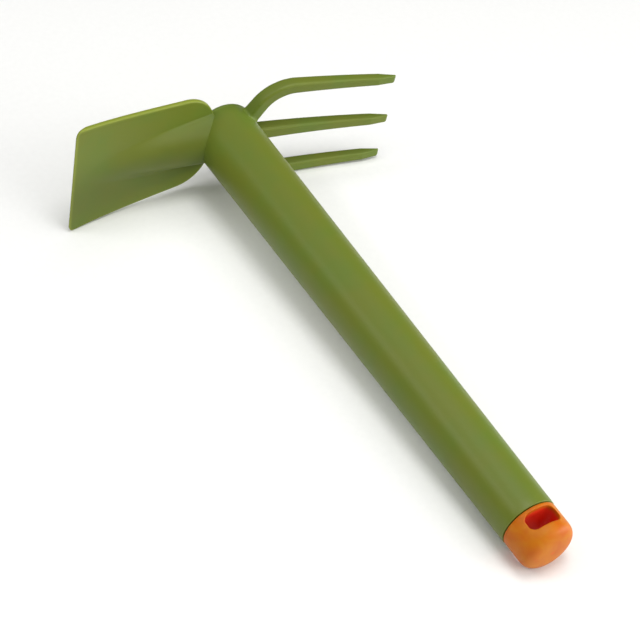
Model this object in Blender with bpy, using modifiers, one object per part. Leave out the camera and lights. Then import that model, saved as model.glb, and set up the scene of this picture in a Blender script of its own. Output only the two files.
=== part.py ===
"""One-hand grub hoe: a pressed blade and three tines welded to the closed end of a conical steel tube.

The tool's own axes are X along the handle from the head to the end plug, Y out along the tines, with the
blade on the -Y side, and Z across the tool. Every piece is modelled in them and parented to one empty,
which lays the tool on its side, on the blade's corner, a tine and the handle's end, with the middle of its
footprint at the world's origin.
"""

import math

import bmesh
import bpy
from mathutils import Matrix, Vector

# Driving dimensions, in metres and radians.
TOUCH_GAP = 0.0003  # left between two pieces that touch

TUBE_LENGTH = 0.275
TUBE_HEAD_RADIUS = 0.017
TUBE_END_RADIUS = 0.014
TUBE_WALL = 0.0015
TUBE_SIDES = 64

DOME_HEIGHT = 0.0056
DOME_WALL = 0.002
DOME_SPIGOT = 0.006
WELD_GROOVE = 0.0011  # depth and half width of the V groove between tube and dome

BLADE_REACH = 0.088  # from the tube's axis to the cutting edge
BLADE_EDGE_WIDTH = 0.0680
BLADE_NECK_WIDTH = 0.0556
BLADE_NECK_SINK = 0.010  # how far the neck's line lies inside the tube's side
BLADE_FACE_X = 0.0016  # where the front face's plane crosses the tube's axis
BLADE_LEAN = math.radians(1.6)  # towards the handle
BLADE_CURL = 0.0024  # how much further the cutting edge is curled towards the handle
BLADE_CURL_POWER = 5  # how late the curl starts
BLADE_SHEET = 0.0025
BLADE_SHOULDER_RADIUS = 0.017
BLADE_CORNER_RADIUS = 0.0035
GRIND_LENGTH = 0.006
GRIND_EDGE = 0.0009  # sheet left at the cutting edge

SWAGE_RADIUS_INSET = 0.001  # swage radius under the tube's
SWAGE_HEIGHT = 0.0100  # crest above the front face, at the tube's side
SWAGE_REACH = 0.070  # from the tube's axis to the swage's point
SWAGE_FILLET = 0.0011

TINE_REACH = 0.0873
TINE_ROOT_X = 0.0067
TINE_TIP_X = 0.0228
TINE_BOW = 0.0009
MIDDLE_TINE_LEAN = 0.0008  # how much nearer the handle the middle tip is
MIDDLE_TINE_DRIFT = -0.0007  # how far aside the middle tip is
TINE_ROOT_WIDTH = 0.0078
TINE_ROOT_DEPTH = 0.0076
TINE_TIP_WIDTH = 0.0047
TINE_TIP_DEPTH = 0.0044
TINE_ARRIS = 0.3  # corner radius over half the bar's side
CHISEL_LENGTH = 0.009
CHISEL_EDGE = 0.001

OUTER_TINE_SPREAD = 0.0281  # from the middle tine, after the bend
OUTER_TINE_TIP_SPREAD = 0.0259
OUTER_TINE_SPLAY = math.radians(58)
OUTER_TINE_BEND_RADIUS = 0.0205
OUTER_TINE_BEND_END = 0.034  # from the tube's axis, along Y

TINE_WELD_LEG = 0.0016
BLADE_WELD_RADIUS = 0.0016
WELD_ROOT_SINK = 0.4  # share of the tube's radius by which a tine weld starts inside it
OUTER_TINE_ROOT_SINK = 0.4  # share of the outer tine's leg that is left out, inside the tube

PLUG_PROUD = 0.0182
PLUG_STEP = 0.0002  # how much thinner the plug is than the tube's end
PLUG_NOSE = 0.0078
PLUG_SQUARENESS = 3.3  # exponent of the nose's outline: 2 is an ellipse
PLUG_SPIGOT_LENGTH = 0.022
PLUG_SPIGOT_CLEARANCE = 0.0009
PLUG_SPIGOT_WALL = 0.002
CRUSH_RIBS = 6
CRUSH_RIB_RADIUS = 0.0008
CRUSH_RIB_LENGTH = 0.0154

SLOT_LENGTH = 0.0160
SLOT_WIDTH = 0.0087
SLOT_CORNER_RADIUS = 0.0033
SLOT_FROM_TUBE = 0.0064  # tube end to the slot's centre line
PLUG_TURN = math.radians(1.6)  # how far round the plug sits from square to the blade

# Colour (linear), roughness and metallic value of each finish.
GREEN_COAT = ((0.165, 0.235, 0.035, 1.0), 0.38, 0.0)
ORANGE_PLASTIC = ((0.72, 0.175, 0.012, 1.0), 0.42, 0.0)

TOOL = bpy.data.collections.new("grub_hoe")
CUTTERS = bpy.data.collections.new("cutters")


def clear_scene():
    for obj in list(bpy.data.objects):
        bpy.data.objects.remove(obj, do_unlink=True)


def material_for(name, finish):
    colour, roughness, metallic = finish
    material = bpy.data.materials.new(name)
    material.use_nodes = True
    shader = material.node_tree.nodes["Principled BSDF"]
    shader.inputs["Base Color"].default_value = colour
    shader.inputs["Roughness"].default_value = roughness
    shader.inputs["Metallic"].default_value = metallic
    return material


def add_object(name, mesh, finish=None):
    """A piece when it has a finish, otherwise a cutter."""
    obj = bpy.data.objects.new(name, mesh)
    if finish:
        mesh.materials.append(material_for(name, finish))
        mesh.shade_smooth()
        TOOL.objects.link(obj)
    else:
        obj.hide_render = True
        obj.display_type = "WIRE"
        CUTTERS.objects.link(obj)
    return obj


def mesh_from(bm, name):
    mesh = bpy.data.meshes.new(name)
    bm.to_mesh(mesh)
    bm.free()
    return mesh


def turned(name, profile, finish=None, closed=False):
    """A solid turned about X from (x, radius) points, listed along its outer side towards -X."""
    bm = bmesh.new()
    verts = [bm.verts.new((radius, 0, x)) for x, radius in profile]
    for a, b in zip(verts, verts[1:]):
        bm.edges.new((a, b))
    if closed:
        bm.edges.new((verts[-1], verts[0]))
    obj = add_object(name, mesh_from(bm, name), finish)
    screw = obj.modifiers.new("turn", "SCREW")
    screw.steps = screw.render_steps = TUBE_SIDES
    screw.use_merge_vertices = True
    screw.merge_threshold = 0.00001
    obj.rotation_euler = (0, math.pi / 2, 0)
    return obj


def cut(obj, cutter):
    boolean = obj.modifiers.new("cut_by_" + cutter.name, "BOOLEAN")
    boolean.operation = "DIFFERENCE"
    boolean.object = cutter


def loft(name, rings, finish=None):
    """A solid through rings of points that run anticlockwise seen from the loft's far end."""
    bm = bmesh.new()
    rows = [[bm.verts.new(point) for point in ring] for ring in rings]
    for near, far in zip(rows, rows[1:]):
        for i in range(len(near)):
            j = (i + 1) % len(near)
            bm.faces.new((near[i], near[j], far[j], far[i]))
    bmesh.ops.triangulate(bm, faces=bm.faces, quad_method="FIXED")
    bm.faces.new(rows[0][::-1])
    bm.faces.new(rows[-1])
    return add_object(name, mesh_from(bm, name), finish)


def tube_radius(x):
    return TUBE_HEAD_RADIUS + (TUBE_END_RADIUS - TUBE_HEAD_RADIUS) * x / TUBE_LENGTH


def dome_outline(grow=0.0, steps=12):
    """(x, radius) points over the dome, from its rim to its crown."""
    quarter = [i * math.pi / 2 / steps for i in range(steps + 1)]
    return [
        (-(DOME_HEIGHT + grow) * math.sin(a), (TUBE_HEAD_RADIUS + grow) * math.cos(a)) for a in quarter[:-1]
    ] + [(-(DOME_HEIGHT + grow), 0.0)]


def make_tube():
    """A conical tube with a weld groove round its mouth at the head."""
    profile = [
        (TUBE_LENGTH, TUBE_END_RADIUS),
        (WELD_GROOVE, tube_radius(WELD_GROOVE)),
        (TOUCH_GAP / 2, TUBE_HEAD_RADIUS - WELD_GROOVE),
        (TOUCH_GAP / 2, TUBE_HEAD_RADIUS - TUBE_WALL),
        (TUBE_LENGTH, TUBE_END_RADIUS - TUBE_WALL),
    ]
    return turned("handle_tube", profile, GREEN_COAT, closed=True)


def make_dome():
    """A pressed cap whose spigot sits in the tube's mouth, with its half of the weld groove."""
    spigot_radius = TUBE_HEAD_RADIUS - TUBE_WALL - TOUCH_GAP
    hollow_radius = spigot_radius - DOME_WALL
    hollow_height = DOME_HEIGHT - DOME_WALL
    outer = [point for point in dome_outline() if point[0] < -WELD_GROOVE]
    steps = 8
    hollow = [
        (-hollow_height * math.cos(i * math.pi / 2 / steps), hollow_radius * math.sin(i * math.pi / 2 / steps))
        for i in range(steps + 1)
    ]
    inside = hollow[::-1][:-1] + [(-hollow_height, 0.0)]
    profile = [
        (DOME_SPIGOT, hollow_radius),
        (DOME_SPIGOT, spigot_radius),
        (-TOUCH_GAP / 2, spigot_radius),
        (-TOUCH_GAP / 2, TUBE_HEAD_RADIUS - WELD_GROOVE),
    ]
    return turned("head_dome", inside[::-1] + profile + outer, GREEN_COAT)


def make_dome_weld():
    """The seam's filling: a ring with a V section, flush with the tube."""
    half = WELD_GROOVE - TOUCH_GAP
    tip = TUBE_HEAD_RADIUS - WELD_GROOVE + 2 * TOUCH_GAP
    profile = [(half, TUBE_HEAD_RADIUS - TOUCH_GAP / 2), (-half, TUBE_HEAD_RADIUS - TOUCH_GAP / 2), (0.0, tip)]
    return turned("dome_weld", profile, GREEN_COAT, closed=True)


def make_hub_cutter():
    """The tube's head end and dome, grown by the gap that touching pieces keep."""
    length = TUBE_LENGTH / 3
    profile = [(length, 0.0), (length, tube_radius(length) + TOUCH_GAP)] + dome_outline(TOUCH_GAP)
    return turned("hub_room", profile)


def blade_half_width(along):
    """Half the blade's width at a distance from the neck's line, with rounded shoulders and corners."""
    length = BLADE_REACH - blade_neck()
    straight = (BLADE_NECK_WIDTH + (BLADE_EDGE_WIDTH - BLADE_NECK_WIDTH) * along / length) / 2
    for radius, distance in ((BLADE_SHOULDER_RADIUS, along), (BLADE_CORNER_RADIUS, length - along)):
        if distance < radius:
            straight -= radius - math.sqrt(radius**2 - (radius - distance) ** 2)
    return straight


def blade_neck():
    """Distance from the tube's axis to the neck's line."""
    return TUBE_HEAD_RADIUS - BLADE_NECK_SINK


def swage_crest(out):
    """Height of the swage's middle line above the front face."""
    return SWAGE_HEIGHT * (SWAGE_REACH - out) / (SWAGE_REACH - TUBE_HEAD_RADIUS)


def pressed(out, z, depth=0.0):
    """Height of the sheet over the plane of its front face, or of the surface a depth below the front."""
    radius = TUBE_HEAD_RADIUS - SWAGE_RADIUS_INSET
    swage = swage_crest(out) - radius + math.sqrt(max((radius - depth) ** 2 - z**2, 0.0))
    lift = swage + depth
    if lift >= SWAGE_FILLET:
        return swage
    if lift <= -SWAGE_FILLET:
        return -depth
    return (lift + SWAGE_FILLET) ** 2 / (4 * SWAGE_FILLET) - depth


def blade_plane(out):
    """The x of the front face at a distance from the tube's axis, leant and curled towards the handle."""
    return BLADE_FACE_X + out * math.tan(BLADE_LEAN) + BLADE_CURL * (out / BLADE_REACH) ** BLADE_CURL_POWER


def blade_thickness(out):
    """The sheet, thinned by grinding its back towards the cutting edge."""
    ground = max(0.0, 1 - (BLADE_REACH - out) / GRIND_LENGTH)
    return BLADE_SHEET - (BLADE_SHEET - GRIND_EDGE) * ground


def blade(name, finish=None, grow=0.0, stations=30, across=42):
    """The pressed sheet, lofted through its sections from the neck to the cutting edge."""
    rings = []
    for i in range(stations + 1):
        # Stations lie closer together at the shoulders and the corners.
        along = (BLADE_REACH - blade_neck()) * (1 - math.cos(math.pi * i / stations)) / 2
        out = blade_neck() + along
        half = blade_half_width(along)
        spread = [half * (2 * j / across - 1) for j in range(across + 1)]
        spread[0] -= grow
        spread[-1] += grow
        front = [(blade_plane(out) + pressed(out, z) + grow, -out, z) for z in spread]
        depth = blade_thickness(out)
        back = [(blade_plane(out) + pressed(out, z, depth) - grow, -out, z) for z in spread]
        rings.append(front + back[::-1])
    return loft(name, rings, finish)


def make_blade(hub):
    cut(blade("hoe_blade", GREEN_COAT), hub)


def make_blade_weld(hub):
    """A fillet on the hollow side, along the line where the sheet's back meets the tube."""
    reach = TUBE_HEAD_RADIUS - SWAGE_RADIUS_INSET - BLADE_SHEET
    steps = 24
    data = bpy.data.curves.new("blade_weld", "CURVE")
    data.dimensions = "3D"
    data.bevel_depth = BLADE_WELD_RADIUS
    data.bevel_resolution = 2
    data.use_fill_caps = True
    spline = data.splines.new("POLY")
    spline.points.add(steps)
    for i, point in enumerate(spline.points):
        z = reach * (2 * i / steps - 1)
        out = math.sqrt(TUBE_HEAD_RADIUS**2 - z**2)
        point.co = (blade_plane(out) + pressed(out, z, BLADE_SHEET), -out, z, 1.0)
    curve = bpy.data.objects.new("blade_weld_guide", data)
    CUTTERS.objects.link(curve)
    bpy.context.view_layer.update()
    mesh = bpy.data.meshes.new_from_object(curve.evaluated_get(bpy.context.evaluated_depsgraph_get()))
    bm = bmesh.new()
    bm.from_mesh(mesh)
    bmesh.ops.remove_doubles(bm, verts=bm.verts, dist=0.00001)
    bm.to_mesh(mesh)
    bm.free()
    bpy.data.objects.remove(curve)
    weld = add_object("blade_weld", mesh, GREEN_COAT)
    cut(weld, hub)
    cut(weld, blade("blade_room", grow=TOUCH_GAP))
    return weld


def tine_x(out, lean=0.0):
    """The bar's middle line seen from the side: a shallow bow from the hub to the tip."""
    share = (out - TUBE_HEAD_RADIUS) / (TINE_REACH - TUBE_HEAD_RADIUS)
    rise = TINE_TIP_X + lean - TINE_ROOT_X
    return TINE_ROOT_X + rise * share - TINE_BOW * 4 * share * (1 - share)


def middle_plan(steps=20):
    """(y, z, heading) along the middle tine, from inside the tube to the tip."""
    start = TUBE_HEAD_RADIUS / 2
    shares = [i / steps for i in range(steps + 1)]
    return [(start + (TINE_REACH - start) * share, MIDDLE_TINE_DRIFT * share, 0.0) for share in shares]


def outer_plan(side, leg_steps=4, bend_steps=10, straight_steps=14):
    """The same for an outer tine: a splayed leg out of the hub, a bend, then a run to the tip."""
    radius, splay = OUTER_TINE_BEND_RADIUS, OUTER_TINE_SPLAY
    along_y, along_z = math.cos(splay), math.sin(splay)
    bend_y = OUTER_TINE_BEND_END - radius * math.sin(splay)
    bend_z = OUTER_TINE_SPREAD - radius * (1 - math.cos(splay))
    # The leg starts well inside the tube, short of where its line passes nearest to the tube's axis.
    leg = (1 - OUTER_TINE_ROOT_SINK) * (bend_y * along_y + bend_z * along_z)
    plan = []
    for i in range(leg_steps):
        back = leg * (1 - i / leg_steps)
        plan.append((bend_y - back * along_y, bend_z - back * along_z, splay))
    for i in range(bend_steps + 1):
        heading = splay * (1 - i / bend_steps)
        y = OUTER_TINE_BEND_END - radius * math.sin(heading)
        plan.append((y, OUTER_TINE_SPREAD - radius * (1 - math.cos(heading)), heading))
    run = TINE_REACH - OUTER_TINE_BEND_END
    closing = (OUTER_TINE_TIP_SPREAD - OUTER_TINE_SPREAD) / run
    for i in range(1, straight_steps + 1):
        onward = run * i / straight_steps
        plan.append((OUTER_TINE_BEND_END + onward, OUTER_TINE_SPREAD + closing * onward, math.atan(closing)))
    return [(y, side * z, side * heading) for y, z, heading in plan]


def arc_lengths(plan):
    lengths = [0.0]
    for (y0, z0, _), (y1, z1, _) in zip(plan, plan[1:]):
        lengths.append(lengths[-1] + math.hypot(y1 - y0, z1 - z0))
    return lengths


def rounded_square(width, depth):
    """(across, up) corners of a bar's section, with its arrises rounded by short arcs."""
    corner = TINE_ARRIS * min(width, depth) / 2
    points = []
    for quarter in range(4):
        middle = math.pi / 4 + quarter * math.pi / 2
        across = math.copysign(width / 2 - corner, math.cos(middle))
        up = math.copysign(depth / 2 - corner, math.sin(middle))
        for turn in (-math.pi / 4, 0.0, math.pi / 4):
            points.append((across + corner * math.cos(middle + turn), up + corner * math.sin(middle + turn)))
    return points


def tine_rings(plan, lean, grow=0.0):
    """The bar's sections: tapered to the tip, and drawn down to a chisel over its last stretch."""
    lengths = arc_lengths(plan)
    total = lengths[-1]
    rings = []
    for (y, z, heading), length in zip(plan, lengths):
        share = length / total
        width = TINE_ROOT_WIDTH + (TINE_TIP_WIDTH - TINE_ROOT_WIDTH) * share
        depth = TINE_ROOT_DEPTH + (TINE_TIP_DEPTH - TINE_ROOT_DEPTH) * share
        drawn = max(0.0, 1 - (total - length) / CHISEL_LENGTH) * (TINE_TIP_DEPTH - CHISEL_EDGE)
        middle = Vector((tine_x(y, lean), y, z))
        across = Vector((0, -math.sin(heading), math.cos(heading)))
        rings.append(
            [
                middle + across * a + Vector((u, 0, 0))
                for a, u in rounded_square(width + 2 * grow, depth - drawn + 2 * grow)
            ]
        )
    return rings


def add_chisel_rings(plan):
    """A plan with a station where the chisel starts."""
    lengths = arc_lengths(plan)
    at = lengths[-1] - CHISEL_LENGTH
    for i, length in enumerate(lengths):
        if length > at:
            share = (at - lengths[i - 1]) / (length - lengths[i - 1])
            (y0, z0, _), (y1, z1, heading) = plan[i - 1], plan[i]
            return plan[:i] + [(y0 + (y1 - y0) * share, z0 + (z1 - z0) * share, heading)] + plan[i:]
    return plan


def make_tine(name, plan, lean, hub):
    tine = loft(name, tine_rings(add_chisel_rings(plan), lean), GREEN_COAT)
    cut(tine, hub)
    return tine


def ring_at(plan, lean, station, grow):
    """The bar's section at a length along its plan, grown by a margin."""
    lengths = arc_lengths(plan)
    i = next(i for i, length in enumerate(lengths) if length >= station)
    share = (station - lengths[i - 1]) / (lengths[i] - lengths[i - 1])
    rings = tine_rings(plan, lean, grow)
    return [near.lerp(far, share) for near, far in zip(rings[i - 1], rings[i])]


def make_tine_weld(name, plan, lean, hub):
    """A fillet round a tine's root: a collar that thins away from the tube, cut by the tube and the bar."""
    lengths = arc_lengths(plan)
    from_axis = [math.hypot(y, z) for y, z, _ in plan]
    inside = (1 - WELD_ROOT_SINK) * TUBE_HEAD_RADIUS
    start = next(length for length, away in zip(lengths, from_axis) if away > inside)
    touch = next(length for length, away in zip(lengths, from_axis) if away > TUBE_HEAD_RADIUS)
    end = touch + TINE_WELD_LEG + TOUCH_GAP
    stations = [start, touch, (touch + end) / 2, end]
    legs = [TINE_WELD_LEG, TINE_WELD_LEG, TINE_WELD_LEG / 2, TOUCH_GAP * 1.5]
    rings = []
    for station, leg in zip(stations, legs):
        rings.append(ring_at(plan, lean, station, TOUCH_GAP + leg))
    weld = loft(name, rings, GREEN_COAT)
    room = loft(name + "_room", tine_rings(plan, lean, TOUCH_GAP))
    cut(weld, hub)
    cut(weld, room)
    return weld


def plug_nose_radius(x):
    """The plug's radius at a distance beyond the tube's end, with a squarish rounded nose."""
    radius = TUBE_END_RADIUS - PLUG_STEP
    into = (x - (PLUG_PROUD - PLUG_NOSE)) / PLUG_NOSE
    if into <= 0:
        return radius
    return radius * max(0.0, 1 - into**PLUG_SQUARENESS) ** (1 / PLUG_SQUARENESS)


def make_plug():
    """A moulded plug: nose and side outside the tube, hollow spigot inside, slot through the side."""
    radius = TUBE_END_RADIUS - PLUG_STEP
    bore = TUBE_END_RADIUS - TUBE_WALL
    spigot = bore - PLUG_SPIGOT_CLEARANCE
    hollow = spigot - PLUG_SPIGOT_WALL
    steps = 14
    nose = []
    for i in range(steps + 1):
        into = math.sin(i * math.pi / 2 / steps)
        nose.append((TUBE_LENGTH + PLUG_PROUD - PLUG_NOSE * (1 - into), into))
    outline = [(TUBE_LENGTH + PLUG_PROUD, 0.0)]
    for x, _ in nose[::-1][1:]:
        outline.append((x, plug_nose_radius(x - TUBE_LENGTH)))
    outline += [
        (TUBE_LENGTH + TOUCH_GAP, radius),
        (TUBE_LENGTH + TOUCH_GAP, spigot),
        (TUBE_LENGTH - PLUG_SPIGOT_LENGTH, spigot),
        (TUBE_LENGTH - PLUG_SPIGOT_LENGTH, hollow),
        (TUBE_LENGTH, hollow),
        (TUBE_LENGTH, 0.0),
    ]
    plug = turned("end_plug", outline, ORANGE_PLASTIC)
    for i in range(CRUSH_RIBS):
        rib = crush_rib(i, spigot, bore)
        union = plug.modifiers.new("crush_rib", "BOOLEAN")
        union.operation = "UNION"
        union.object = rib
    cut(plug, slot_cutter())
    return plug


def crush_rib(index, spigot, bore):
    """A half-round rib along the spigot, which stands out to the gap from the tube's bore."""
    angle = 2 * math.pi * (index + 0.5) / CRUSH_RIBS
    proud = bore - TOUCH_GAP - CRUSH_RIB_RADIUS
    bm = bmesh.new()
    radius = CRUSH_RIB_RADIUS
    bmesh.ops.create_cone(bm, cap_ends=True, segments=12, radius1=radius, radius2=radius, depth=CRUSH_RIB_LENGTH)
    rib = add_object(f"crush_rib_{index}", mesh_from(bm, "crush_rib"))
    place = Vector((TUBE_LENGTH - PLUG_SPIGOT_LENGTH / 2, proud * math.cos(angle), proud * math.sin(angle)))
    rib.matrix_world = Matrix.Translation(place) @ Matrix.Rotation(math.pi / 2, 4, "Y")
    return rib


def slot_cutter():
    """A bar of rounded rectangular section, through the plug from side to side."""
    half_x = SLOT_WIDTH / 2 - SLOT_CORNER_RADIUS
    half_y = SLOT_LENGTH / 2 - SLOT_CORNER_RADIUS
    steps = 6
    outline = []
    for quarter, (side_x, side_y) in enumerate(((1, 1), (-1, 1), (-1, -1), (1, -1))):
        for i in range(steps + 1):
            angle = (quarter + i / steps) * math.pi / 2
            x = side_x * half_x + SLOT_CORNER_RADIUS * math.cos(angle)
            outline.append((x, side_y * half_y + SLOT_CORNER_RADIUS * math.sin(angle)))
    reach = 2 * TUBE_END_RADIUS
    cutter = loft("slot", [[Vector((x, y, z)) for x, y in outline] for z in (-reach, reach)])
    place = Matrix.Translation((TUBE_LENGTH + SLOT_FROM_TUBE, 0, 0))
    cutter.matrix_world = place @ Matrix.Rotation(PLUG_TURN, 4, "X")
    return cutter


def world_points(names):
    """Every evaluated vertex of the named pieces, in world space."""
    bpy.context.view_layer.update()
    graph = bpy.context.evaluated_depsgraph_get()
    points = []
    for name in names:
        obj = TOOL.objects[name].evaluated_get(graph)
        points += [obj.matrix_world @ vert.co for vert in obj.to_mesh().vertices]
        obj.to_mesh_clear()
    return points


def lay_down():
    """Parents every object to one empty, and turns it so that the tool rests on three points."""
    rest = bpy.data.objects.new("tool_axis", None)
    bpy.context.scene.collection.objects.link(rest)
    feet = [world_points(group) for group in (["hoe_blade"], ["lower_tine"], ["handle_tube", "end_plug"])]
    up = Vector((0, 0, 1))
    for _ in range(8):
        blade, tine, handle = (min(points, key=up.dot) for points in feet)
        up = (handle - blade).cross(tine - blade).normalized()
    along = Vector((1, 0, 0)) - up * up.x
    along.normalize()
    turn = Matrix((along, up.cross(along), up)).to_4x4()
    everything = [turn @ point for point in world_points(TOOL.objects.keys())]
    low = [min(point[axis] for point in everything) for axis in range(3)]
    high = [max(point[axis] for point in everything) for axis in range(3)]
    shift = Vector((-(low[0] + high[0]) / 2, -(low[1] + high[1]) / 2, -low[2]))
    for obj in list(TOOL.objects) + list(CUTTERS.objects):
        obj.parent = rest
    rest.matrix_world = Matrix.Translation(shift) @ turn


def make_pieces():
    hub = make_hub_cutter()
    make_tube()
    make_dome()
    make_dome_weld()
    make_blade(hub)
    make_blade_weld(hub)
    tines = (
        ("middle_tine", middle_plan(), MIDDLE_TINE_LEAN),
        ("upper_tine", outer_plan(1), 0.0),
        ("lower_tine", outer_plan(-1), 0.0),
    )
    for name, plan, lean in tines:
        make_tine(name, plan, lean, hub)
        make_tine_weld(name + "_weld", plan, lean, hub)
    make_plug()


clear_scene()
bpy.context.scene.collection.children.link(TOOL)
bpy.context.scene.collection.children.link(CUTTERS)
make_pieces()
lay_down()
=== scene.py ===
"""Looks of a one-hand grub hoe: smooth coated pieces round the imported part, and the studio they lie in.

Every piece is shaped in the tool's own axes, in metres: X along the handle from the head to the end plug,
Y out along the tines with the blade on the -Y side, and Z across the tool. ToolPlace then puts each mesh
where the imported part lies. The tool is one rigid body, so every piece rides on "root".
"""

import logging
from collections.abc import Callable, Sequence
from dataclasses import dataclass, field
from enum import Enum
from functools import partial
from math import copysign, cos, hypot, pi, radians, sin, sqrt, tan

import bmesh
import bpy
import numpy as np
from bpy.types import ID, Material, Mesh, Node, NodeOutputs, NodeSocket, NodeTree, Object
from mathutils import Euler, Matrix, Vector


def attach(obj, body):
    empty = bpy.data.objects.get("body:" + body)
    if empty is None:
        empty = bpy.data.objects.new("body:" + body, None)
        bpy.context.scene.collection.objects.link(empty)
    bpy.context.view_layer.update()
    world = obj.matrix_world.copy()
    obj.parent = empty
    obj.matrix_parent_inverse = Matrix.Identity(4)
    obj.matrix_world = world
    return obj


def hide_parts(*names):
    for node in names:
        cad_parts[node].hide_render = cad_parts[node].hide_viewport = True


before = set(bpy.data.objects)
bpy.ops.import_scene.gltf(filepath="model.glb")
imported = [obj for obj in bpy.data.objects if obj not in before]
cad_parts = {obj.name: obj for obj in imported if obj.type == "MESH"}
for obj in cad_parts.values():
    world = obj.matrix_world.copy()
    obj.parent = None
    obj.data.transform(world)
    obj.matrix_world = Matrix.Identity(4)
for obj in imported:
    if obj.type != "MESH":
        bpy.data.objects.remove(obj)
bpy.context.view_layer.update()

LOG = logging.getLogger("grub_hoe")
MM = 0.001
TOUCHING = 0.001 * MM  # corners closer than this are one
MATH, TIMES = "ShaderNodeMath", {"operation": "MULTIPLY"}
MIX_A, MIX_B, MIX_RESULT = 6, 7, 2  # the colour sockets of a Mix node

Ring = list[Vector]


class Slot(Enum):
    """The record's material slots."""

    STEEL = "green_steel"
    PLASTIC = "orange_plug"


class Place(Enum):
    """Which of the three tines, as its side of the tool's middle plane."""

    UPPER = 1
    MIDDLE = 0
    LOWER = -1


@dataclass
class ToolPlace:
    """The turn and shift from the tool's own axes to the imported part's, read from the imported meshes."""

    tube_length: float = 275 * MM
    matrix: Matrix = field(init=False)

    def __post_init__(self) -> None:
        """Finds the handle's axis from the tube's mesh and the blade's side from the blade's."""
        tube = self.corners("handle_tube")
        centre = tube.mean(axis=0)
        along = np.linalg.svd(tube - centre, full_matrices=False)[2][0]
        along *= np.sign(along[0])
        head = centre + along * (((tube - centre) @ along).max() - self.tube_length)
        to_blade = self.corners("hoe_blade").mean(axis=0) - head
        to_tines = -(to_blade - along * (to_blade @ along))
        to_tines /= np.linalg.norm(to_tines)
        across = np.cross(along, to_tines)
        turn = Matrix((along, to_tines, across)).transposed().to_4x4()
        self.matrix = Matrix.Translation(Vector(head)) @ turn

    @staticmethod
    def corners(node: str) -> np.ndarray:
        """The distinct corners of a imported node's mesh, a row of x, y and z for each."""
        points = np.array([vert.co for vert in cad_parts[node].data.vertices], float)
        return np.unique(points.round(6), axis=0)


PLACE = ToolPlace()


def linear(hex_colour: str) -> tuple[float, ...]:
    """An sRGB colour of six hex digits as linear red, green and blue, with an alpha of 1."""
    shares = [int(hex_colour[i : i + 2], 16) / 255 for i in (0, 2, 4)]
    return *(s / 12.92 if s <= 0.04045 else ((s + 0.055) / 1.055) ** 2.4 for s in shares), 1.0


def add_node(tree: NodeTree, kind: str, settings: dict | None = None, links: dict | None = None) -> Node:
    """Adds a node with its settings and links.

    Args:
        tree: The tree the node goes into.
        kind: The node's type, as Blender names it.
        settings: Properties by name, and values of input sockets by name or number.
        links: An output socket, or a node for its first, by the input socket's name or number.

    Returns:
        The new node.
    """
    node = tree.nodes.new(kind)
    for key, value in (settings or {}).items():
        if isinstance(key, str) and hasattr(node, key) and key not in node.inputs:
            setattr(node, key, value)
        else:
            node.inputs[key].default_value = value
    for key, source in (links or {}).items():
        output = source.outputs[0] if isinstance(source, Node) else source
        tree.links.new(output, node.inputs[key])
    return node


def empty_material(name: str) -> tuple[Material, Callable[..., Node]]:
    """A material with a bare node tree.

    Args:
        name: The material's name.

    Returns:
        The material, and add_node for its tree.
    """
    material = bpy.data.materials.new(name)
    material.use_nodes = True
    material.node_tree.nodes.clear()
    return material, partial(add_node, material.node_tree)


@dataclass(frozen=True)
class Pattern:
    """A soft random pattern: how wide its features are, and how it is drawn."""

    size_mm: float
    detail: float = 2.0
    roughness: float = 0.5
    distortion: float = 0.0

    def settings(self) -> dict[str, float]:
        """The settings of its noise node."""
        drawn = {"Detail": self.detail, "Roughness": self.roughness, "Distortion": self.distortion}
        return {"Scale": 1 / (self.size_mm * MM), **drawn}


@dataclass(frozen=True)
class Skin:
    """What both finishes share: two pigments in soft patches, a third colour laid by a float attribute, an
    uneven gloss and a fine relief, all drawn in Object coordinates."""

    name: str
    colours: tuple[str, str, str]
    attribute: str
    patches: Pattern
    patch_range: tuple[float, float]
    haze: Pattern
    roughness: tuple[float, float]
    relief: Pattern
    relief_strength: float
    relief_depth_mm: float
    ior: float
    specular: float
    glow: float = 0.0
    glow_reach_mm: float = 1.0

    def build(self) -> Material:
        """Builds the finish.

        Returns:
            The material.
        """
        material, add = empty_material(self.name)
        first, second, third = (linear(colour) for colour in self.colours)
        place = {"Vector": add("ShaderNodeTexCoord").outputs["Object"]}
        patches = add("ShaderNodeTexNoise", self.patches.settings(), place)
        low, high = self.patch_range
        share = add("ShaderNodeMapRange", {"From Min": low, "From Max": high}, {"Value": patches})
        body = add("ShaderNodeMix", {"data_type": "RGBA", MIX_A: first, MIX_B: second}, {0: share})
        mark = add("ShaderNodeAttribute", {"attribute_name": self.attribute}).outputs["Fac"]
        laid = {0: mark, MIX_A: body.outputs[MIX_RESULT]}
        colour = add("ShaderNodeMix", {"data_type": "RGBA", MIX_B: third}, laid)
        haze = add("ShaderNodeTexNoise", self.haze.settings(), place)
        low, high = self.roughness
        gloss = add("ShaderNodeMapRange", {"To Min": low, "To Max": high}, {"Value": haze})
        relief = add("ShaderNodeTexNoise", self.relief.settings(), place)
        depth = {"Strength": self.relief_strength, "Distance": self.relief_depth_mm * MM}
        bump = add("ShaderNodeBump", depth, {"Height": relief})
        shader = add(
            "ShaderNodeBsdfPrincipled",
            {
                "IOR": self.ior,
                "Specular IOR Level": self.specular,
                "Subsurface Weight": self.glow,
                "Subsurface Radius": (1.0, 0.25, 0.08),
                "Subsurface Scale": self.glow_reach_mm * MM,
            },
            {"Base Color": colour.outputs[MIX_RESULT], "Roughness": gloss, "Normal": bump},
        )
        add("ShaderNodeOutputMaterial", links={"Surface": shader})
        return material


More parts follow.
